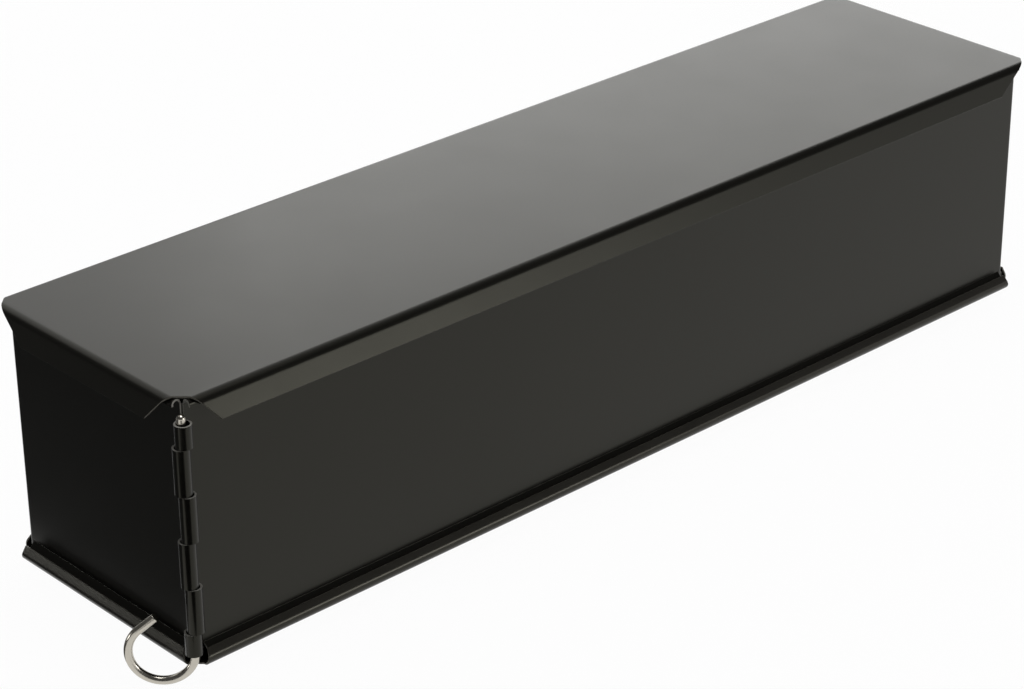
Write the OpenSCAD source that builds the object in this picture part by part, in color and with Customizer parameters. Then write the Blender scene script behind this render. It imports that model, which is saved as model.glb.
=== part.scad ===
// Hinged terrine mould in coated sheet steel: a folded lid, a folded base tray and
// two L-shaped wall halves, held together at two opposite corners by ringed wire pins.
// X runs along the length, Z is up, and the origin is the centre of the tray's underside.

/* [Mould] */
// Length inside the walls
inner_l = 350; // [200:1:450]
// Width inside the walls
inner_w = 80; // [60:1:120]
// Overall height, from the tray's underside to the lid's top
height = 84; // [60:1:120]
// Thickness of the sheet
sheet = 0.6; // [0.5:0.05:0.8]
// Inside radius of the plain wall corners
corner_r = 1; // [0.5:0.1:2]

/* [Lid] */
// Flat of the lid beyond the walls, up to its bends
lid_flat = 1.45; // [1:0.05:4]
// Outer radius of the lid's bends
lid_bend_r = 3.05; // [2.5:0.05:4]
// Depth of the skirts, from the lid's top
skirt_drop = 7.3; // [6:0.1:12]
// Outward lean of the skirts, in degrees
skirt_lean = 23; // [0:1:35]
// Corner cut of the lid's blank at the hinged corners, along each bend line
lid_hinge_cut = 3.4; // [1:0.1:5]
// Corner cut of the lid's blank at the plain corners
lid_corner_cut = 1; // [0.5:0.1:3]
// Set-back of a skirt's end for each millimetre of its depth, at the hinged corners
hinge_end_slope = 0.75; // [0.5:0.05:1.5]
// Set-back of a skirt's end for each millimetre of its depth, at the plain corners
skirt_end_slope = 1.8; // [1:0.05:2]

/* [Tray] */
// Flat of the tray beyond the walls, up to its bends
tray_flat = 1.4; // [1.2:0.05:3]
// Outer radius of the tray's bends
tray_bend_r = 2.5; // [2:0.1:3]
// Height of the lips, from the tray's underside
lip_h = 5.3; // [4.8:0.1:7]
// Inward lean of the lips, in degrees
lip_lean = 25; // [0:1:30]
// Corner cut of the tray's blank, along each bend line
tray_corner_cut = 3.2; // [3:0.1:5]
// Set-back of a lip's end for each millimetre of its depth
lip_end_slope = 0.25; // [0:0.05:1]

/* [Walls] */
// Outer radius of the rolled top rim
rim_r = 1.55; // [1.2:0.05:1.7]
// Straight edge below the roll of the rim
rim_tail = 0.4; // [0.1:0.1:1]
// Distance of a rim's ends from the wall's corner
rim_gap = 1; // [0.8:0.1:3]
// Height at which the walls turn out into their feet
foot_top = 6; // [5:0.1:9]
// Slope of the feet from the wall, in degrees
foot_flare = 47; // [40:1:60]
// Distance of a foot's ends from the wall's corner
foot_gap = 2.5; // [2.2:0.1:5]

/* [Hinge] */
// Number of knuckles at a hinged corner
knuckle_count = 6; // [4:2:8]
// Outer diameter of the rolled knuckles
knuckle_d = 5.1; // [4.8:0.1:6]
// Distance from the lid's top down to the highest knuckle
hinge_drop = 6.7; // [5:0.1:12]
// Height of the lowest knuckle's end above the tray's underside
hinge_lift = 4.6; // [4:0.1:8]
// Offset of each half's knuckles from the pin, which pinches the wire
pinch = 0.45; // [0:0.05:0.5]
// Angle left open where a knuckle's edge comes back to its wall
seam_angle = 42; // [30:1:60]

/* [Pins] */
// Diameter of the pins' wire
wire_d = 2.6; // [2:0.1:2.7]
// Height of a pin's tip above the highest knuckle
pin_proud = 2.6; // [1:0.1:4]
// Radius of the ring, to the middle of the wire
ring_r = 9.4; // [8:0.1:14]
// Height of the ring's centre above the lowest knuckle's end
ring_rise = 0.8; // [0:0.1:1.5]
// Arc by which the ring goes past a half turn, in degrees
ring_hook = 50; // [30:1:75]
// Straight free end of the ring
ring_tail = 6.3; // [2:0.1:9]
// Direction of the front pin's ring, in degrees from the X axis
ring_turn = 137.5; // [130:0.5:145]

/* [Clearances] */
// Gap of the lid and the feet to what they rest on
seat_gap = 0.1; // [0.05:0.05:0.3]
// Gap between the edges of the two halves in a hinged corner
edge_gap = 0.15; // [0.1:0.05:0.4]
// Gap between neighbouring knuckles
knuckle_gap = 0.2; // [0.1:0.05:0.5]
// Gap between a foot and the inside of the tray's lip
foot_clear = 0.3; // [0.2:0.05:0.6]
// Width of the relief slits beside the feet
relief = 0.4; // [0.2:0.1:1]

/* [Hidden] */
$fn = 64;

// Outer faces of the walls
wall_l = inner_l + 2 * sheet;
wall_w = inner_w + 2 * sheet;

// The ends of the folded sides start this far inside the blank's corner cuts
corner_step = sheet / 12;

// Straight part of a lid skirt and of a tray lip, beyond the bend
skirt_turn = 90 - skirt_lean;
skirt_leg = (skirt_drop - lid_bend_r * (1 - sin(skirt_lean))) / cos(skirt_lean);
lip_turn = 90 + lip_lean;
lip_leg = (lip_h - tray_bend_r * (1 + sin(lip_lean))) / cos(lip_lean);

// The roll of the rim carries the lid
rim_top = height - sheet - seat_gap;
rim_base = rim_top - rim_r;

// The feet stand in the tray's bends, under the lips
tray_bend_in = tray_bend_r - sheet;
foot_out = tray_flat + tray_bend_in - foot_clear;
foot_knee = foot_top - foot_out / tan(foot_flare);
foot_bottom = tray_bend_r + seat_gap
    - sqrt(tray_bend_in * tray_bend_in - (tray_bend_in - foot_clear) * (tray_bend_in - foot_clear));
foot_mitre = sheet * tan(foot_flare / 2);

// Knuckles: a half-length one at each end and full ones between
bore_r = knuckle_d / 2 - sheet;
hinge_top = height - hinge_drop;
knuckle_pitch = (hinge_top - hinge_lift) / (knuckle_count - 1);
wall_edge = sheet + edge_gap;
pinch_step = pinch / sqrt(2);
loop_in = 2 * pinch_step - bore_r;

// Axis of the front pin, from the outer corner of the walls
pin_x = -wall_l / 2 - bore_r + pinch_step;
pin_y = -wall_w / 2 - bore_r + pinch_step;
pin_top = hinge_top + pin_proud;
wire_r = wire_d / 2;
tip_flat = 0.01 * wire_d;
// The wire thins a little where it is bent
bent_r = 0.985 * wire_r;
ring_z = hinge_lift + ring_rise;

// Section of a folded edge: a short flat that laps the sheet, a bend down from X = 0 and a straight leg
module folded_edge(bend_r, turn, leg) {
    reach = 2 * bend_r;
    translate([0, -bend_r]) {
        translate([-sheet, bend_r - sheet])
            square(sheet);
        intersection() {
            difference() {
                circle(bend_r);
                circle(bend_r - sheet);
            }
            translate([0, -reach])
                square([reach, 2 * reach]);
            rotate(-turn)
                translate([-reach, -reach])
                    square([reach, 2 * reach]);
        }
        rotate(-turn)
            translate([0, bend_r - sheet])
                square([leg, sheet]);
    }
}

// One folded side, each of its two ends cut to the outline of the flat blank
module folded_side(len, bend_r, turn, leg, cuts, slopes) {
    depth = 2 * bend_r + leg;
    near = [for (cut = cuts) len / 2 - cut - corner_step];
    far = [for (i = [0, 1]) near[i] - slopes[i] * depth];
    intersection() {
        rotate([90, 0, 0])
            linear_extrude(len, center = true)
                folded_edge(bend_r, turn, leg);
        rotate([0, turn, 0])
            linear_extrude(4 * depth, center = true)
                polygon([
                    [-bend_r, -near[1]], [-bend_r, near[0]], [sheet, near[0]],
                    [depth, far[0]], [depth, -far[1]], [sheet, -near[1]]
                ]);
    }
}

// A rectangular sheet with cut corners and four sides folded down from its top face;
// cuts and slopes are those of the hinged corners, then those of the plain corners
module folded_sheet(l, w, bend_r, turn, leg, cuts, slopes) {
    x = l / 2;
    y = w / 2;
    hinge = cuts[0];
    plain = cuts[1];
    translate([0, 0, -sheet])
        linear_extrude(sheet)
            polygon([
                [x, plain - y], [x, y - hinge], [x - hinge, y], [plain - x, y],
                [-x, y - plain], [-x, hinge - y], [hinge - x, -y], [x - plain, -y]
            ]);
    for (side = [0, 180]) {
        rotate(side)
            translate([x, 0, 0])
                folded_side(w, bend_r, turn, leg, cuts, slopes);
        rotate(side + 90)
            translate([y, 0, 0])
                folded_side(l, bend_r, turn, leg, [plain, hinge], [slopes[1], slopes[0]]);
    }
}

// Plan of one half: a long wall, a plain bend and an end wall, cut back at the hinges
module half_plan() {
    bend = corner_r + sheet;
    translate([-wall_l / 2 + wall_edge, -wall_w / 2])
        square([wall_l - wall_edge - bend, sheet]);
    translate([wall_l / 2 - sheet, -wall_w / 2 + bend])
        square([sheet, wall_w - wall_edge - bend]);
    translate([wall_l / 2 - bend, -wall_w / 2 + bend]) {
        intersection() {
            difference() {
                circle(bend);
                circle(corner_r);
            }
            translate([0, -bend])
                square(bend);
        }
        translate([-sheet, -bend])
            square(sheet);
        translate([corner_r, 0])
            square(sheet);
    }
}

// The parts of the plan beside the feet, which reach the tray's floor
module half_corners() {
    tab = foot_gap - relief;
    intersection() {
        half_plan();
        for (corner = [[-1, -1], [1, -1], [1, 1]])
            translate([corner[0] * wall_l / 2, corner[1] * wall_w / 2])
                square(2 * tab, center = true);
    }
}

// Section of the rolled top rim: outward along X, with the wall's outer face at 0
module rim_section() {
    translate([rim_r - sheet, rim_base]) {
        difference() {
            circle(rim_r);
            circle(rim_r - sheet);
            translate([-rim_r, -2 * rim_r])
                square([2 * rim_r, 2 * rim_r]);
        }
        for (leg = [-rim_r, rim_r - sheet])
            translate([leg, -rim_tail])
                square([sheet, rim_tail]);
    }
}

// Section of the foot: the wall turns out and then stands in the tray
module foot_section() {
    polygon([
        [0, foot_top], [foot_out, foot_knee], [foot_out, foot_bottom],
        [foot_out - sheet, foot_bottom], [foot_out - sheet, foot_knee - foot_mitre],
        [-sheet, foot_top - foot_mitre], [-sheet, foot_top + sheet], [0, foot_top + sheet]
    ]);
}

// Rims and feet along one wall whose outer face is at X = 0 and whose middle is at Y = 0
module wall_edges(len) {
    rotate([90, 0, 0]) {
        linear_extrude(len - 2 * rim_gap, center = true)
            rim_section();
        linear_extrude(len - 2 * foot_gap, center = true)
            foot_section();
    }
}

// Plan of a rolled knuckle: the wall runs along +X below Y = 0 and rolls outward, to +Y
module knuckle_plan() {
    translate([loop_in, -sheet])
        square([wall_edge + sheet - loop_in, sheet]);
    translate([loop_in, bore_r])
        difference() {
            circle(knuckle_d / 2);
            circle(bore_r);
            polygon([
                [0, 0], [0, -knuckle_d],
                knuckle_d * [sin(seam_angle / 2), -cos(seam_angle / 2)],
                knuckle_d * [sin(seam_angle), -cos(seam_angle)]
            ]);
        }
}

// Every second knuckle of a hinged corner, counted from the top
module knuckles(first) {
    for (i = [first:2:knuckle_count - 1]) {
        top = min(hinge_top, hinge_top - (i - 0.5) * knuckle_pitch);
        bottom = max(hinge_lift, hinge_top - (i + 0.5) * knuckle_pitch);
        translate([0, 0, bottom + knuckle_gap / 2])
            linear_extrude(top - bottom - knuckle_gap)
                knuckle_plan();
    }
}

// One half of the walls, with the odd knuckles on its long wall and the even ones on its end wall
module wall_half() {
    translate([0, 0, foot_top])
        linear_extrude(rim_base - foot_top)
            half_plan();
    translate([0, 0, sheet])
        linear_extrude(foot_top)
            half_corners();
    rotate(-90)
        translate([wall_w / 2, 0, 0])
            wall_edges(wall_l);
    translate([wall_l / 2, 0, 0])
        wall_edges(wall_w);
    translate([-wall_l / 2, -wall_w / 2, 0])
        mirror([0, 1, 0])
            knuckles(0);
    translate([wall_l / 2, wall_w / 2, 0])
        rotate(-90)
            knuckles(1);
}

// A hinge pin of round wire, with a domed tip and a ring bent at its lower end
module ringed_pin() {
    shaft = pin_top - wire_r - ring_z;
    translate([pin_x, pin_y, ring_z])
        rotate(ring_turn) {
            rotate_extrude()
                intersection() {
                    union() {
                        square([wire_r, shaft]);
                        translate([0, shaft])
                            circle(wire_r);
                    }
                    square([wire_r, shaft + wire_r - tip_flat]);
                }
            translate([ring_r, 0, 0])
                rotate([90, 0, 0])
                    rotate(180) {
                        rotate_extrude(angle = 180 + ring_hook)
                            translate([ring_r, 0])
                                circle(bent_r);
                        rotate(180 + ring_hook)
                            translate([ring_r, 0, 0])
                                rotate([-90, 0, 0])
                                    cylinder(h = ring_tail, r = wire_r);
                    }
        }
}

module base_tray() {
    color("dimgray")
        mirror([0, 0, 1])
            folded_sheet(
                wall_l + 2 * tray_flat, wall_w + 2 * tray_flat,
                tray_bend_r, lip_turn, lip_leg,
                [tray_corner_cut, tray_corner_cut], [lip_end_slope, lip_end_slope]
            );
}

module front_half() {
    color("slategray")
        wall_half();
}

module rear_half() {
    color("darkslategray")
        rotate(180)
            wall_half();
}

module lid() {
    color("gray")
        translate([0, 0, height])
            folded_sheet(
                wall_l + 2 * lid_flat, wall_w + 2 * lid_flat,
                lid_bend_r, skirt_turn, skirt_leg,
                [lid_hinge_cut, lid_corner_cut], [hinge_end_slope, skirt_end_slope]
            );
}

module front_pin() {
    color("silver")
        ringed_pin();
}

module rear_pin() {
    color("silver")
        rotate(180)
            ringed_pin();
}

base_tray();
front_half();
rear_half();
lid();
front_pin();
rear_pin();
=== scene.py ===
"""Looks of a hinged terrine mold: black coated sheet steel with bright ringed wire pins, on white."""

import math
from collections import namedtuple

import bmesh
import bpy
from mathutils import Matrix, Quaternion, Vector


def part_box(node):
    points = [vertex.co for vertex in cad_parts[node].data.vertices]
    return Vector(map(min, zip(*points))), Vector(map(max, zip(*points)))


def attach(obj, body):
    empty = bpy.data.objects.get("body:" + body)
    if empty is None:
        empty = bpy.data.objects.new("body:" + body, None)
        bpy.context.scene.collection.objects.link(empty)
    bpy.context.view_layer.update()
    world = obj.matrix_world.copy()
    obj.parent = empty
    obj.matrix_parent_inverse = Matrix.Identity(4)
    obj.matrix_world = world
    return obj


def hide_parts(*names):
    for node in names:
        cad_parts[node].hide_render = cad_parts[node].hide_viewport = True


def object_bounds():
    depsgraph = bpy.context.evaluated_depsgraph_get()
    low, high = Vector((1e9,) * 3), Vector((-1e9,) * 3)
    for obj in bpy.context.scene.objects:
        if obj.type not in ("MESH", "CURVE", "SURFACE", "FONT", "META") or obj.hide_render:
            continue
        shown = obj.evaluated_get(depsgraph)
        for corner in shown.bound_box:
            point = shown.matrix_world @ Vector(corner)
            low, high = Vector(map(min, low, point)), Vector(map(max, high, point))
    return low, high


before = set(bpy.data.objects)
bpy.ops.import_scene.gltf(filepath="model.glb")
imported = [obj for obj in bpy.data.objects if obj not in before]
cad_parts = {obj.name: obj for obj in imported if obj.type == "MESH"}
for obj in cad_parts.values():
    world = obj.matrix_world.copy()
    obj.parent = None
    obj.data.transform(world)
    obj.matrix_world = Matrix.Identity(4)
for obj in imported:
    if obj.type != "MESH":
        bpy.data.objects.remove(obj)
cad_low, cad_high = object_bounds()

MM = 0.001
UP = Vector((0, 0, 1))

# Sheet: the same sizes as the solids
SHEET = 0.6 * MM
INNER_L = 350 * MM
INNER_W = 80 * MM
WALL_L = INNER_L + 2 * SHEET
WALL_W = INNER_W + 2 * SHEET
CORNER_R = 1 * MM
EDGE_ROUND = 0.13 * MM
BEND_STEPS = 12
HALF_TURN = Matrix.Rotation(math.pi, 3, "Z")

# Places nearer than the first are the same, and a corner nearer to a cut than the second lies on it
HAIR = 1e-6
CUT_HAIR = 1e-7

# Cosine of the largest angle at which a face still counts as part of a wall
WALL_COSINE = 0.9

# Material slots of a sheet: flat, its cut edges, bent, its cut edges
BENT_SLOT = 2
EDGE_SLOT_STEP = 1

# Lid and tray folds
LID_BEND_R = 3.05 * MM
SKIRT_TURN = math.radians(67)
LID_HINGE_CUT = 3.4 * MM
LID_PLAIN_CUT = 1 * MM
LID_HINGE_SLOPE = 0.75
LID_PLAIN_SLOPE = 1.8
TRAY_BEND_R = 2.2 * MM
LONG_LIP_TURN = math.radians(123)
END_LIP_TURN = math.radians(110)
TRAY_CUT = 2.6 * MM
LIP_END_SLOPE = 0.25
LEG_START = 0.3 * MM

# Wall edges
RIM_R = 1.55 * MM
RIM_TAIL = 0.4 * MM
RIM_GAP = 1 * MM
FOOT_TOP = 6 * MM
FOOT_FLARE = math.radians(47)
FOOT_OUT = 3 * MM
FOOT_GAP = 2.5 * MM
FOOT_RELIEF = 0.4 * MM
FOOT_BEND_R = 0.75 * MM
FOOT_LINE = FOOT_TOP + (FOOT_BEND_R - SHEET) * math.tan(FOOT_FLARE / 2)
FOOT_BOTTOM = 1.575 * MM
WALL_EDGE = SHEET + 0.15 * MM
RIM_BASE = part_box("front_half")[1].z - RIM_R

# Hinged corners and their pins
KNUCKLES = 6
KNUCKLE_R = 2.55 * MM
KNUCKLE_GAP = 0.2 * MM
HINGE_TOP = 77.3 * MM
HINGE_BOTTOM = 4.6 * MM
BORE_R = KNUCKLE_R - SHEET
PINCH_STEP = 0.45 * MM / math.sqrt(2)
LOOP_IN = 2 * PINCH_STEP - BORE_R
KNUCKLE_STEPS = 30
SEAM = math.radians(42)
WIRE_R = 1.28 * MM
RING_R = 9.4 * MM
RING_Z = HINGE_BOTTOM + 0.8 * MM
RING_ARC = math.radians(230)
RING_TAIL = 6.3 * MM
RING_TURN = math.radians(137.5)
PIN_X = -WALL_L / 2 - BORE_R + PINCH_STEP
PIN_Y = -WALL_W / 2 - BORE_R + PINCH_STEP
PIN_TOP = HINGE_TOP + 2.6 * MM
PIN_END_ROUND = 0.2 * MM
WIRE_SIDES = 32
RING_STEPS = 60
DOME_STEPS = 6

# Finishes: sizes and strengths of their patterns, the range of most noise values, and the coat's gloss
ORANGE_PEEL = 1.1 * MM
PEEL_DEPTH = 0.02 * MM
PEEL_STRENGTH = 0.12
SPRAY_CLOUD = 24 * MM
CLOUD_DULLNESS = 0.03
COAT_SPECK = 0.7 * MM
SPECK_LOW = 0.62
SPECK_HIGH = 0.78
SPECK_DULLNESS = 0.08
WIRE_HAZE = 3 * MM
NOISE_LOW = 0.3
NOISE_HIGH = 0.7
COAT_IOR = 1.35
WARM_GLOSS = "#FFFCE6"

# Studio: how white the table is to the eye, how high the white low down reaches, and how strong the rest is
TABLE_SIZE = (8, 8)
TABLE_WHITE = 0.97
CARD_LIFT = 0.5 * MM
HORIZON = 0.01
DIM_STUDIO = 0.09

# Each wall runs from its hinged corner; the halves' knuckles alternate
Wall = namedtuple("Wall", "corner run outward length first_knuckle")
LONG_WALL = Wall(
    corner=Vector((-WALL_L, -WALL_W, 0)) / 2,
    run=Vector((1, 0, 0)),
    outward=Vector((0, -1, 0)),
    length=WALL_L,
    first_knuckle=0,
)
END_WALL = Wall(
    corner=Vector((WALL_L, WALL_W, 0)) / 2,
    run=Vector((0, -1, 0)),
    outward=Vector((1, 0, 0)),
    length=WALL_W,
    first_knuckle=1,
)


def make_camera():
    """The photo's viewpoint: a long lens at the corner with the ring, a little above the lid."""
    azimuth = math.radians(-42.46)
    elevation = math.radians(26.87)
    roll = math.radians(-0.56)
    target = Vector((-25.0, -7.1, 34.7)) * MM
    distance = 949 * MM
    back = Vector((
        math.sin(azimuth) * math.cos(elevation),
        -math.cos(azimuth) * math.cos(elevation),
        math.sin(elevation),
    ))
    data = bpy.data.cameras.new("camera")
    data.sensor_width = 36
    data.lens = 107.3
    camera = bpy.data.objects.new("camera", data)
    bpy.context.scene.collection.objects.link(camera)
    turn = (-back).to_track_quat("-Z", "Y") @ Quaternion((0, 0, 1), roll)
    camera.matrix_world = Matrix.Translation(target + back * distance) @ turn.to_matrix().to_4x4()
    bpy.context.scene.camera = camera


def linear(colour):
    """Linear RGBA of an sRGB hex colour."""
    parts = [int(colour[i:i + 2], 16) / 255 for i in (1, 3, 5)]
    return (*[c / 12.92 if c <= 0.04045 else ((c + 0.055) / 1.055) ** 2.4 for c in parts], 1)


def socket_named(node, name):
    """The enabled input of that name: a Mix node has one for each data type."""
    return next(s for s in node.inputs if s.name == name and s.enabled)


def add_node(tree, kind, settings=None, **inputs):
    """Adds a node, sets its properties, and sets or links its inputs."""
    node = tree.nodes.new(kind)
    for name, value in (settings or {}).items():
        setattr(node, name, value)
    for name, value in inputs.items():
        key = name.replace("_", " ").strip()
        socket = node.inputs[int(key)] if key.isdigit() else socket_named(node, key)
        if isinstance(value, bpy.types.NodeSocket):
            tree.links.new(value, socket)
        else:
            socket.default_value = value
    return node


def new_material(name):
    """A material with its tree, its shader and the place on the piece that patterns follow."""
    material = bpy.data.materials.new(name)
    material.use_nodes = True
    tree = material.node_tree
    shader = tree.nodes["Principled BSDF"]
    place = add_node(tree, "ShaderNodeTexCoord").outputs["Object"]
    return material, tree, shader, place


def scale_of(size):
    """Noise scale whose features are about this size, in metres."""
    return 1 / size


def satin_coat(name, tint, pale, roughness):
    """Non-stick fluoropolymer coat, sprayed on steel sheet and baked.

    It looks satin black with soft, slightly warm reflections, a fine orange peel, faint clouds from the
    spray gun, and dull specks, which are drawn coarser than real ones so that they show.
    """
    material, tree, shader, place = new_material(name)
    peel = add_node(tree, "ShaderNodeTexNoise", Vector=place, Scale=scale_of(ORANGE_PEEL), Detail=3)
    cloud = add_node(tree, "ShaderNodeTexNoise", Vector=place, Scale=scale_of(SPRAY_CLOUD), Detail=4)
    speck = add_node(tree, "ShaderNodeTexNoise", Vector=place, Scale=scale_of(COAT_SPECK), Detail=2)
    mottle = add_node(tree, "ShaderNodeMix", {"data_type": "RGBA"}, Factor=cloud.outputs["Fac"],
                      A=linear(tint), B=linear(pale))
    rough = add_node(tree, "ShaderNodeMapRange", Value=cloud.outputs["Fac"],
                     From_Min=NOISE_LOW, From_Max=NOISE_HIGH,
                     To_Min=roughness, To_Max=roughness + CLOUD_DULLNESS)
    spots = add_node(tree, "ShaderNodeMapRange", Value=speck.outputs["Fac"],
                     From_Min=SPECK_LOW, From_Max=SPECK_HIGH, To_Min=0, To_Max=SPECK_DULLNESS)
    rougher = add_node(tree, "ShaderNodeMath", {"operation": "ADD"},
                       _0=rough.outputs["Result"], _1=spots.outputs["Result"])
    bump = add_node(tree, "ShaderNodeBump", Height=peel.outputs["Fac"],
                    Strength=PEEL_STRENGTH, Distance=PEEL_DEPTH)
    tree.links.new(mottle.outputs[2], shader.inputs["Base Color"])
    tree.links.new(rougher.outputs["Value"], shader.inputs["Roughness"])
    tree.links.new(bump.outputs["Normal"], shader.inputs["Normal"])
    shader.inputs["IOR"].default_value = COAT_IOR
    shader.inputs["Specular Tint"].default_value = linear(WARM_GLOSS)
    return material


def drawn_wire():
    """Stainless wire, drawn and polished: bright and a little warm, with a haze that varies along it."""
    material, tree, shader, place = new_material("drawn_stainless_wire")
    haze = add_node(tree, "ShaderNodeTexNoise", Vector=place, Scale=scale_of(WIRE_HAZE), Detail=4)
    rough = add_node(tree, "ShaderNodeMapRange", Value=haze.outputs["Fac"],
                     From_Min=NOISE_LOW, From_Max=NOISE_HIGH, To_Min=0.18, To_Max=0.28)
    tree.links.new(rough.outputs["Result"], shader.inputs["Roughness"])
    tone = add_node(tree, "ShaderNodeMix", {"data_type": "RGBA"}, Factor=haze.outputs["Fac"],
                    A=linear("#B2ADA2"), B=linear("#C8C3B8"))
    tree.links.new(tone.outputs[2], shader.inputs["Base Color"])
    shader.inputs["Metallic"].default_value = 1
    return material


def finish_piece(name, bm, materials, node, body):
    """Makes the mesh a piece that stands for a CAD node and rides on its body."""
    mesh = bpy.data.meshes.new(name)
    bm.to_mesh(mesh)
    bm.free()
    mesh.shade_smooth()
    for material in materials:
        mesh.materials.append(material)
    piece = bpy.data.objects.new(name, mesh)
    bpy.context.scene.collection.objects.link(piece)
    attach(piece, body)
    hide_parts(node)
    return piece


def round_edges(piece, width, segments):
    """Rounds a piece's sharp edges."""
    bevel = piece.modifiers.new("round_edges", "BEVEL")
    bevel.width = width
    bevel.segments = segments
    bevel.limit_method = "ANGLE"
    bevel.angle_limit = math.radians(35)
    bevel.harden_normals = True


def give_thickness(piece):
    """Thickens a sheet away from its faces' normals and rounds the coated cut edges."""
    solid = piece.modifiers.new("sheet", "SOLIDIFY")
    solid.thickness = SHEET
    solid.offset = -1
    solid.use_even_offset = True
    solid.material_offset_rim = EDGE_SLOT_STEP
    round_edges(piece, EDGE_ROUND, 2)


def edges_of(geom):
    """The edges in what an operator returns."""
    return [g for g in geom if isinstance(g, bmesh.types.BMEdge)]


def pull(bm, edges, vec):
    """Extrudes edges by a vector and returns the new edges, in no fixed order."""
    geom = bmesh.ops.extrude_edge_only(bm, edges=edges)["geom"]
    verts = [g for g in geom if isinstance(g, bmesh.types.BMVert)]
    bmesh.ops.translate(bm, verts=verts, vec=vec)
    fresh = set(verts)
    return [e for e in edges_of(geom) if fresh.issuperset(e.verts)]


def roll(bm, edges, centre, axis, angle, steps):
    """Rolls edges about an axis and returns the last ones."""
    verts = {v for e in edges for v in e.verts}
    spun = bmesh.ops.spin(bm, geom=[*verts, *edges], cent=centre, axis=axis, angle=angle, steps=steps)
    return edges_of(spun["geom_last"])


def mark_bent(bm, before):
    """Gives the faces made since then the finish of bent sheet."""
    for face in set(bm.faces) - before:
        face.material_index = BENT_SLOT


def cut_away(bm, geom, point, normal):
    """Cuts off what lies beyond a plane."""
    bmesh.ops.bisect_plane(bm, geom=geom, plane_co=point, plane_no=normal, clear_outer=True, dist=CUT_HAIR)


def leg_of(drop, bend_r, turn):
    """Length of the straight leg after a bend, when both go down this far."""
    return (drop - bend_r * (1 - math.cos(turn))) / math.sin(turn)


def fold_side(bm, edge, outward, bend_r, turn, drop, slopes):
    """Folds the sheet down beyond an edge: a bend and a straight leg, its ends cut back by the slopes.

    The leg starts with a short row, which takes up the smooth shading of the bend and leaves the rest flat.
    """
    before = set(bm.faces)
    ends = [v.co.copy() for v in edge.verts]
    middle = (ends[0] + ends[1]) / 2
    last = roll(bm, [edge], middle - UP * bend_r, UP.cross(outward), turn, BEND_STEPS)
    down = outward * math.cos(turn) - UP * math.sin(turn)
    last = pull(bm, last, down * LEG_START)
    pull(bm, last, down * (leg_of(drop, bend_r, turn) - LEG_START))
    for end in ends:
        faces = set(bm.faces) - before
        geom = [*faces, *{e for f in faces for e in f.edges}, *{v for f in faces for v in f.verts}]
        away = (end - middle).normalized()
        cut_away(bm, geom, end, away + down * slopes[is_plain(end)])
    mark_bent(bm, before)


def is_plain(place):
    """True at the two corners of the mold that have no pin."""
    return place.x * place.y < 0


def folded_sheet(flat_l, flat_w, bend_r, turns, drop, cuts, slopes):
    """A rectangle with cut corners and four sides folded down, as the outer face of the sheet.

    Turns are those of the ends and of the long sides. Cuts and slopes are those of the pinned corners
    and of the plain corners.
    """
    bm = bmesh.new()
    bmesh.ops.create_grid(bm, x_segments=1, y_segments=1, size=0.5)
    bmesh.ops.scale(bm, vec=(flat_l, flat_w, 1), verts=bm.verts)
    for corner in [v.co.copy() for v in bm.verts]:
        away = Vector((math.copysign(1, corner.x), math.copysign(1, corner.y), 0))
        point = corner - Vector((0, away.y, 0)) * cuts[is_plain(corner)]
        cut_away(bm, bm.verts[:] + bm.edges[:] + bm.faces[:], point, away)
    for outward in (Vector((1, 0, 0)), Vector((-1, 0, 0)), Vector((0, 1, 0)), Vector((0, -1, 0))):
        rim = [e for e in bm.edges if e.is_boundary and all(abs(v.co.z) < HAIR for v in e.verts)]
        edge = max(rim, key=lambda e: sum(v.co.dot(outward) for v in e.verts))
        fold_side(bm, edge, outward, bend_r, turns[outward.x == 0], drop, slopes)
    return bm


def lid_sheet():
    """Outer face of the lid, whose skirts lean out as far as the solid's."""
    low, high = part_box("lid")
    drop = high.z - low.z - SHEET * math.cos(SKIRT_TURN)
    leg = leg_of(drop, LID_BEND_R, SKIRT_TURN)
    reach = LID_BEND_R * math.sin(SKIRT_TURN) + leg * math.cos(SKIRT_TURN)
    bm = folded_sheet(high.x - low.x - 2 * reach, high.y - low.y - 2 * reach,
                      LID_BEND_R, (SKIRT_TURN, SKIRT_TURN), drop,
                      (LID_HINGE_CUT, LID_PLAIN_CUT), (LID_HINGE_SLOPE, LID_PLAIN_SLOPE))
    bmesh.ops.translate(bm, verts=bm.verts, vec=UP * high.z)
    return bm


def tray_sheet():
    """Outer face of the tray: folded like the lid, then turned over, with lips that lean in."""
    low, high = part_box("base_tray")
    bm = folded_sheet(high.x - low.x - 2 * TRAY_BEND_R, high.y - low.y - 2 * TRAY_BEND_R,
                      TRAY_BEND_R, (END_LIP_TURN, LONG_LIP_TURN), high.z - low.z,
                      (TRAY_CUT, TRAY_CUT), (LIP_END_SLOPE, LIP_END_SLOPE))
    bmesh.ops.rotate(bm, verts=bm.verts, cent=(0, 0, 0), matrix=Matrix.Rotation(math.pi, 3, "X"))
    return bm


def knuckle_spans():
    """Lowest and highest level of each knuckle, counted from the top: half-length ones at both ends."""
    pitch = (HINGE_TOP - HINGE_BOTTOM) / (KNUCKLES - 1)
    spans = []
    for i in range(KNUCKLES):
        top = min(HINGE_TOP, HINGE_TOP - (i - 0.5) * pitch)
        bottom = max(HINGE_BOTTOM, HINGE_TOP - (i + 0.5) * pitch)
        spans.append((bottom + KNUCKLE_GAP / 2, top - KNUCKLE_GAP / 2))
    return spans


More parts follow.
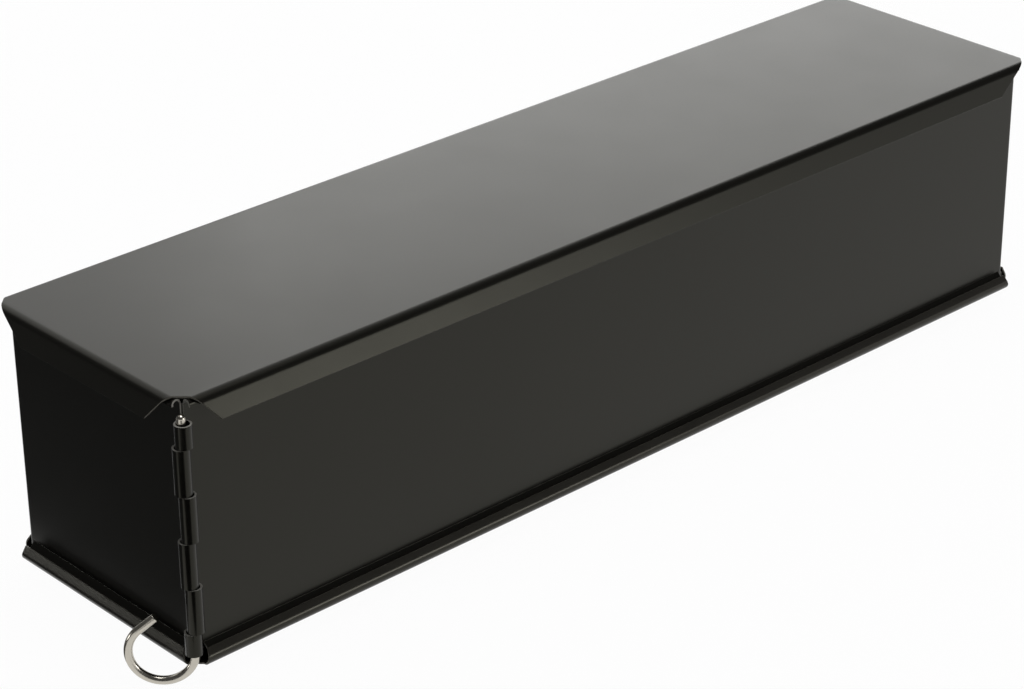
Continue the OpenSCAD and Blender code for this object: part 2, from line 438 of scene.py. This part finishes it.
def wall_strip(bm, wall):
    """Inner face of one wall, from its hinge to its plain bend, in rows that end at the knuckles' levels."""
    ends = [WALL_EDGE, RIM_GAP, FOOT_GAP - FOOT_RELIEF, FOOT_GAP]
    stations = [*ends, *(wall.length - s for s in (FOOT_GAP, FOOT_GAP - FOOT_RELIEF, CORNER_R + SHEET))]
    levels = sorted([SHEET, FOOT_LINE, RIM_BASE, *(z for span in knuckle_spans() for z in span)])
    start = wall.corner - wall.outward * SHEET + wall.run * WALL_EDGE
    column = [bm.verts.new(start + UP * z) for z in levels]
    edges = [bm.edges.new(pair) for pair in zip(column, column[1:])]
    for a, b in zip(stations, stations[1:]):
        edges = pull(bm, edges, wall.run * (b - a))
    return edges


def open_edges(bm, wall, start, end, low, high):
    """Open edges of a wall's inner face, between two stations and two levels."""
    def inside(v):
        place = v.co - wall.corner
        return (
            start - HAIR < place.dot(wall.run) < end + HAIR
            and low - HAIR < v.co.z < high + HAIR
            and abs(place.dot(wall.outward) + SHEET) < HAIR
        )
    return [e for e in bm.edges if e.is_boundary and all(inside(v) for v in e.verts)]


def open_foot(bm, wall):
    """Cuts the sheet away between the corner tabs, below the line where the foot turns out."""
    first = FOOT_GAP - FOOT_RELIEF
    last = wall.length - first
    below = [
        f for f in bm.faces
        if f.calc_center_median().z < FOOT_LINE
        and first < (f.calc_center_median() - wall.corner).dot(wall.run) < last
        and abs(f.normal.dot(wall.outward)) > WALL_COSINE
    ]
    bmesh.ops.delete(bm, geom=below, context="FACES")


def roll_rim(bm, wall):
    """Rolls the top edge outward by half a turn."""
    before = set(bm.faces)
    edges = open_edges(bm, wall, RIM_GAP, wall.length - CORNER_R - SHEET, RIM_BASE, RIM_BASE)
    centre = wall.corner + wall.outward * (RIM_R - SHEET) + UP * RIM_BASE
    last = roll(bm, edges, centre, UP.cross(wall.outward), math.pi, BEND_STEPS)
    pull(bm, last, -UP * RIM_TAIL)
    mark_bent(bm, before)


def turn_foot(bm, wall):
    """Bends the bottom edge out, then turns it down to stand under the tray's lip."""
    before = set(bm.faces)
    edges = open_edges(bm, wall, FOOT_GAP, wall.length - FOOT_GAP, FOOT_LINE, FOOT_LINE)
    centre = wall.corner + wall.outward * (FOOT_BEND_R - SHEET) + UP * FOOT_LINE
    bent = roll(bm, edges, centre, wall.outward.cross(UP), FOOT_FLARE, BEND_STEPS)
    slope = wall.outward * math.sin(FOOT_FLARE) - UP * math.cos(FOOT_FLARE)
    length = FOOT_OUT / math.sin(FOOT_FLARE) - FOOT_BEND_R * math.tan(FOOT_FLARE / 2)
    knee = pull(bm, bent, slope * length)
    pull(bm, knee, UP * (FOOT_BOTTOM - knee[0].verts[0].co.z))
    mark_bent(bm, before)


def roll_knuckles(bm, wall):
    """Rolls every second stretch of the hinge edge into a knuckle round the pin."""
    before = set(bm.faces)
    centre = wall.corner + wall.run * LOOP_IN + wall.outward * BORE_R
    for low, high in knuckle_spans()[wall.first_knuckle::2]:
        edges = open_edges(bm, wall, WALL_EDGE, WALL_EDGE, low, high)
        edges = pull(bm, edges, wall.run * (LOOP_IN - WALL_EDGE))
        roll(bm, edges, centre, wall.outward.cross(wall.run), 2 * math.pi - SEAM, KNUCKLE_STEPS)
    mark_bent(bm, before)


def wall_half_sheet(turned):
    """Inner face of one half: a long wall, a plain bend and an end wall, with rims, feet and knuckles."""
    bm = bmesh.new()
    last = wall_strip(bm, LONG_WALL)
    bend = Vector((INNER_L / 2 - CORNER_R, CORNER_R - INNER_W / 2, 0))
    roll(bm, last, bend, UP, math.pi / 2, BEND_STEPS)
    wall_strip(bm, END_WALL)
    bmesh.ops.remove_doubles(bm, verts=bm.verts, dist=HAIR)
    bm.normal_update()
    for wall in (LONG_WALL, END_WALL):
        open_foot(bm, wall)
        roll_rim(bm, wall)
        turn_foot(bm, wall)
        roll_knuckles(bm, wall)
    bmesh.ops.recalc_face_normals(bm, faces=bm.faces)
    widest = max(bm.faces, key=lambda f: f.calc_area())
    if widest.normal.dot(LONG_WALL.outward) > 0:
        bmesh.ops.reverse_faces(bm, faces=bm.faces)
    if turned:
        bmesh.ops.rotate(bm, verts=bm.verts, cent=(0, 0, 0), matrix=HALF_TURN)
    return bm


def pin_wire(turned):
    """A pin of round wire: a domed tip, a straight shaft and a ring that ends in a short straight tail."""
    bm = bmesh.new()
    bmesh.ops.create_circle(bm, radius=WIRE_R, segments=WIRE_SIDES)
    shaft_top = PIN_TOP - WIRE_R
    bmesh.ops.translate(bm, verts=bm.verts, vec=UP * shaft_top)
    girth = bm.edges[:]
    dome = girth
    for i in range(DOME_STEPS):
        angle, following = (math.pi / 2 * k / (DOME_STEPS + 1) for k in (i, i + 1))
        dome = pull(bm, dome, UP * WIRE_R * (math.sin(following) - math.sin(angle)))
        shrink = math.cos(following) / math.cos(angle)
        verts = list({v for e in dome for v in e.verts})
        bmesh.ops.scale(bm, vec=(shrink, shrink, 1), verts=verts)
    bmesh.ops.edgeloop_fill(bm, edges=dome)
    shaft = pull(bm, girth, UP * (RING_Z - shaft_top))
    centre = Vector((RING_R, 0, RING_Z))
    axis = Vector((0, -1, 0))
    ring = roll(bm, shaft, centre, axis, RING_ARC, RING_STEPS)
    tail = pull(bm, ring, Matrix.Rotation(RING_ARC, 3, axis) @ -UP * RING_TAIL)
    bmesh.ops.edgeloop_fill(bm, edges=tail)
    bmesh.ops.recalc_face_normals(bm, faces=bm.faces)
    place = Matrix.Translation((PIN_X, PIN_Y, 0)) @ Matrix.Rotation(RING_TURN, 4, "Z")
    bmesh.ops.transform(bm, verts=bm.verts, matrix=place)
    if turned:
        bmesh.ops.rotate(bm, verts=bm.verts, cent=(0, 0, 0), matrix=HALF_TURN)
    return bm


def stage_plane(name, middle, size):
    """A level plane of the studio, with an empty material to fill in."""
    bm = bmesh.new()
    bmesh.ops.create_grid(bm, x_segments=1, y_segments=1, size=0.5)
    bmesh.ops.scale(bm, vec=(*size, 1), verts=bm.verts)
    bmesh.ops.translate(bm, verts=bm.verts, vec=middle)
    mesh = bpy.data.meshes.new(name)
    bm.to_mesh(mesh)
    bm.free()
    plane = bpy.data.objects.new(name, mesh)
    bpy.context.scene.collection.objects.link(plane)
    material = bpy.data.materials.new(name)
    material.use_nodes = True
    material.node_tree.nodes.clear()
    mesh.materials.append(material)
    return plane, material.node_tree


def make_floor():
    """Pale table: white in the metal, and clear to the camera, which sees a trace of the shadow on white.

    So a pin that is pulled down through the table stays in sight.
    """
    _, tree = stage_plane("white_table", Vector((0, 0, cad_low.z)), TABLE_SIZE)
    rays = add_node(tree, "ShaderNodeLightPath").outputs
    shine = add_node(tree, "ShaderNodeMath", {"operation": "MAXIMUM"},
                     _0=rays["Is Glossy Ray"], _1=rays["Is Transmission Ray"])
    seen = add_node(tree, "ShaderNodeMath", {"operation": "MAXIMUM"},
                    _0=rays["Is Camera Ray"], _1=shine.outputs[0])
    share = add_node(tree, "ShaderNodeMath", {"operation": "MULTIPLY"}, _0=seen.outputs[0], _1=TABLE_WHITE)
    table = add_node(tree, "ShaderNodeBsdfDiffuse", Color=linear("#E8E8E8"))
    white = add_node(tree, "ShaderNodeEmission", Strength=1)
    clear = add_node(tree, "ShaderNodeBsdfTransparent")
    backdrop = add_node(tree, "ShaderNodeMixShader", Fac=rays["Is Camera Ray"],
                        _1=white.outputs[0], _2=clear.outputs[0])
    mix = add_node(tree, "ShaderNodeMixShader", Fac=share.outputs[0],
                   _1=table.outputs[0], _2=backdrop.outputs[0])
    add_node(tree, "ShaderNodeOutputMaterial", Surface=mix.outputs[0])


def make_card(name, middle, size, colour):
    """A card on the table that glows evenly instead of being lit: painted shade of the table, which only the
    coat and the metal show.
    """
    card, tree = stage_plane(name, Vector((*middle, cad_low.z + CARD_LIFT)), size)
    paper = add_node(tree, "ShaderNodeEmission", Color=linear(colour))
    add_node(tree, "ShaderNodeOutputMaterial", Surface=paper.outputs[0])
    card.visible_camera = False
    card.visible_diffuse = False
    card.visible_shadow = False


def make_world():
    """White to the camera; the metal shows that white low down, and a dark studio above it."""
    world = bpy.data.worlds.new("studio")
    world.use_nodes = True
    tree = world.node_tree
    tree.nodes.clear()
    rays = add_node(tree, "ShaderNodeLightPath").outputs
    shine = add_node(tree, "ShaderNodeMath", {"operation": "MAXIMUM"},
                     _0=rays["Is Glossy Ray"], _1=rays["Is Transmission Ray"])
    direction = add_node(tree, "ShaderNodeTexCoord").outputs["Generated"]
    way = add_node(tree, "ShaderNodeSeparateXYZ", Vector=direction)
    low = add_node(tree, "ShaderNodeMapRange", Value=way.outputs["Z"],
                   From_Min=0, From_Max=HORIZON, To_Min=1, To_Max=0)
    shown = add_node(tree, "ShaderNodeMath", {"operation": "MULTIPLY"},
                     _0=shine.outputs[0], _1=low.outputs["Result"])
    seen = add_node(tree, "ShaderNodeMath", {"operation": "MAXIMUM"},
                    _0=rays["Is Camera Ray"], _1=shown.outputs[0])
    dim = add_node(tree, "ShaderNodeBackground", Color=linear("#FFFFFF"), Strength=DIM_STUDIO)
    white = add_node(tree, "ShaderNodeBackground", Color=linear("#FFFFFF"), Strength=1)
    mix = add_node(tree, "ShaderNodeMixShader", Fac=seen.outputs[0], _1=dim.outputs[0], _2=white.outputs[0])
    add_node(tree, "ShaderNodeOutputWorld", Surface=mix.outputs[0])
    bpy.context.scene.world = world


def softbox(name, place, aim, size, watts, spread=180):
    """A rectangular studio light, aimed at a point and hidden from the camera. Its spread is in degrees."""
    data = bpy.data.lights.new(name, "AREA")
    data.shape = "RECTANGLE"
    data.size, data.size_y = size
    data.energy = watts
    data.spread = math.radians(spread)
    light = bpy.data.objects.new(name, data)
    bpy.context.scene.collection.objects.link(light)
    light.location = place
    light.rotation_mode = "QUATERNION"
    light.rotation_quaternion = (Vector(aim) - Vector(place)).to_track_quat("-Z", "Y")
    light.visible_camera = False


make_camera()
bpy.context.scene.view_settings.view_transform = "Standard"

# Table, and glowing cards on it: painted shade that darkens what the left wall and the ring show
make_floor()
make_card("grey_card", middle=(-2.09, 1.98), size=(3.81, 4.0), colour="#505050")
make_card("black_card", middle=(-0.262, -0.164), size=(0.138, 0.202), colour="#101010")
make_world()

# Softboxes behind that the lid shows, brighter toward its far end
softbox("back_softbox", place=(0.22, 1.30, 0.66), aim=(0, 0, 0.05), size=(1.15, 0.8), watts=3.8)
softbox("right_back_softbox", place=(1.30, 1.05, 0.62), aim=(0.1, 0, 0.05), size=(1.1, 0.9), watts=7.8)
softbox("upper_softbox", place=(0.22, 0.78, 1.12), aim=(0, 0, 0.05), size=(1.9, 0.7), watts=2.6)
softbox("top_softbox", place=(0, -0.1, 1.3), aim=(0, -0.1, 0), size=(0.7, 0.7), watts=8)

# Low strips that the front skirt and the lips show: the left one's narrow beam passes under the left skirt
softbox("front_strip", place=(0.55, -1.15, 0.21), aim=(0, 0, 0.05), size=(0.5, 0.30), watts=2.7)
softbox("left_low_strip", place=(-0.443, 0.231, 0.009), aim=(-0.18, 0, 0.006), size=(0.32, 0.027),
        watts=0.006, spread=24)
softbox("front_right_strip", place=(1.1, -1.0, 0.21), aim=(0, 0, 0.05), size=(0.6, 0.30), watts=0.6)

# Flat sheet: soft reflections. Under a roughness of 0.274 the noise filter would leave stains
flat_coat = satin_coat("satin_nonstick_coat", "#0C0B0A", "#11100E", 0.276)
# Sheared edges hold little coat, so the steel's grey shows. The thin pale line is partly that grey and
# partly a painted highlight along the cut edges
thin_coat_and_edge_glint = satin_coat("thin_coat_and_glint_on_cut_edges", "#5A5852", "#6E6B64", 0.24)
# Rims, feet and knuckles are burnished by the bending tool: crisp dark and light bands
bent_coat = satin_coat("coat_burnished_by_bending", "#0C0B0A", "#11100E", 0.20)
# Lips: a paler, shinier black than the flat sheet
lip_coat = satin_coat("paler_coat_on_the_lips", "#1E1C1A", "#2A2825", 0.20)
# Edges of the knuckles rub on each other and lose coat. Their pale colour is partly that wear and partly a
# painted highlight on the bright top rims: the palest lines of the sheet
worn_and_highlit_edge = satin_coat("worn_and_highlit_knuckle_edges", "#82807B", "#989690", 0.24)
wire = drawn_wire()

lid_coats = [flat_coat, thin_coat_and_edge_glint, flat_coat, thin_coat_and_edge_glint]
tray_coats = [flat_coat, thin_coat_and_edge_glint, lip_coat, thin_coat_and_edge_glint]
half_coats = [flat_coat, worn_and_highlit_edge, bent_coat, worn_and_highlit_edge]
give_thickness(finish_piece("folded_lid", lid_sheet(), lid_coats, "lid", "lid"))
give_thickness(finish_piece("folded_tray", tray_sheet(), tray_coats, "base_tray", "mold"))
for node, turned in (("front_half", False), ("rear_half", True)):
    half = wall_half_sheet(turned)
    give_thickness(finish_piece(node + "_sheet", half, half_coats, node, "mold"))
for node, turned in (("front_pin", False), ("rear_pin", True)):
    pin = finish_piece(node + "_wire", pin_wire(turned), [wire], node, node)
    round_edges(pin, PIN_END_ROUND, 3)
